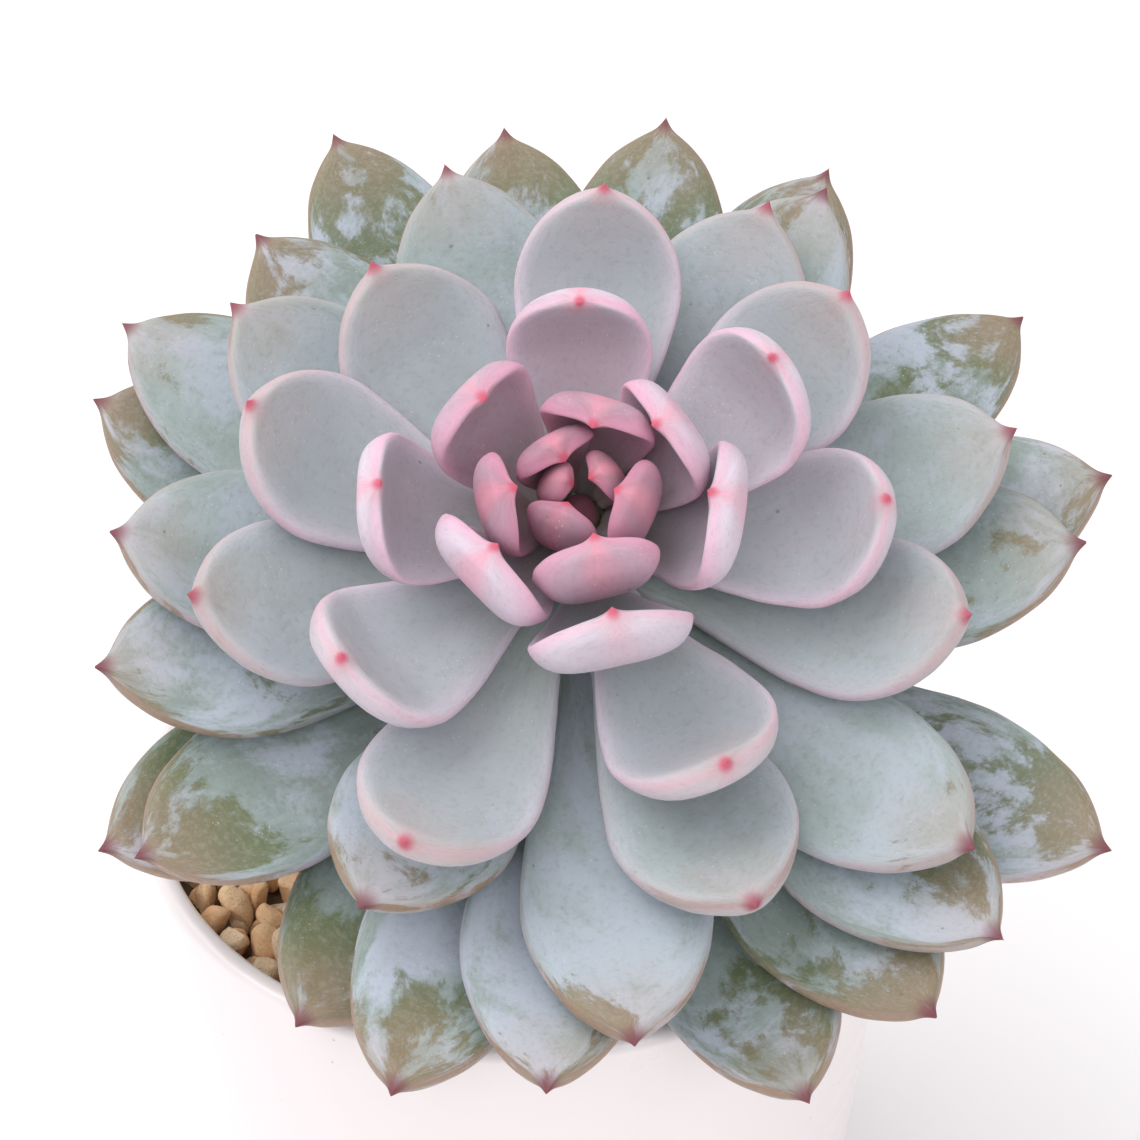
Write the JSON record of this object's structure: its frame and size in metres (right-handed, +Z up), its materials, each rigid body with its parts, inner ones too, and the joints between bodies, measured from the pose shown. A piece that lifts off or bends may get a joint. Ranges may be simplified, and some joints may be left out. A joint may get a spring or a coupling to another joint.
{
  "type": "potted succulent",
  "caption": "Rosette succulent with fleshy blue-green leaves and a pink heart, leaning on a short stem in a round white glazed pot topped with tan gravel.",
  "frame": {"origin": "centre of the pot's flat base, on the surface that it stands on", "axes": "+Z up along the pot; the rosette leans towards -Y, the side it is seen from; +X to the viewer's right"},
  "size_m": [0.1405, 0.1318, 0.1799],
  "materials": {
    "pot_glaze": "gloss",
    "soil": "matte",
    "gravel": "matte",
    "stem": "matte",
    "leaf_heart": "satin",
    "leaf_middle": "matte",
    "leaf_outer": "matte"
  },
  "bodies": {
    "root": {"pot": "pot_glaze", "soil": "soil", "gravel": "gravel", "stem": "stem", "leaf_01": "leaf_heart", "leaf_02": "leaf_heart", "leaf_03": "leaf_heart", "leaf_04": "leaf_heart", "leaf_05": "leaf_heart", "leaf_06": "leaf_heart", "leaf_07": "leaf_heart", "leaf_08": "leaf_heart", "leaf_09": "leaf_heart", "leaf_10": "leaf_heart", "leaf_11": "leaf_heart", "leaf_12": "leaf_heart", "leaf_13": "leaf_middle", "leaf_14": "leaf_middle", "leaf_15": "leaf_middle", "leaf_16": "leaf_middle", "leaf_17": "leaf_middle", "leaf_18": "leaf_middle", "leaf_19": "leaf_middle", "leaf_20": "leaf_middle", "leaf_21": "leaf_middle", "leaf_22": "leaf_middle", "leaf_23": "leaf_middle", "leaf_24": "leaf_middle", "leaf_25": "leaf_middle", "leaf_26": "leaf_middle", "leaf_27": "leaf_middle", "leaf_28": "leaf_middle", "leaf_29": "leaf_middle", "leaf_30": "leaf_middle", "leaf_31": "leaf_outer", "leaf_32": "leaf_outer", "leaf_33": "leaf_outer", "leaf_34": "leaf_outer", "leaf_35": "leaf_outer", "leaf_36": "leaf_outer", "leaf_37": "leaf_outer", "leaf_38": "leaf_outer", "leaf_39": "leaf_outer", "leaf_40": "leaf_outer", "leaf_41": "leaf_outer", "leaf_42": "leaf_outer", "leaf_43": "leaf_outer", "leaf_44": "leaf_outer", "leaf_45": "leaf_outer", "leaf_46": "leaf_outer", "leaf_47": "leaf_outer", "leaf_48": "leaf_outer", "leaf_49": "leaf_outer", "leaf_50": "leaf_outer", "leaf_51": "leaf_outer", "leaf_52": "leaf_outer", "leaf_53": "leaf_outer", "leaf_54": "leaf_outer", "leaf_55": "leaf_outer", "leaf_56": "leaf_outer"}
  },
  "joints": []
}
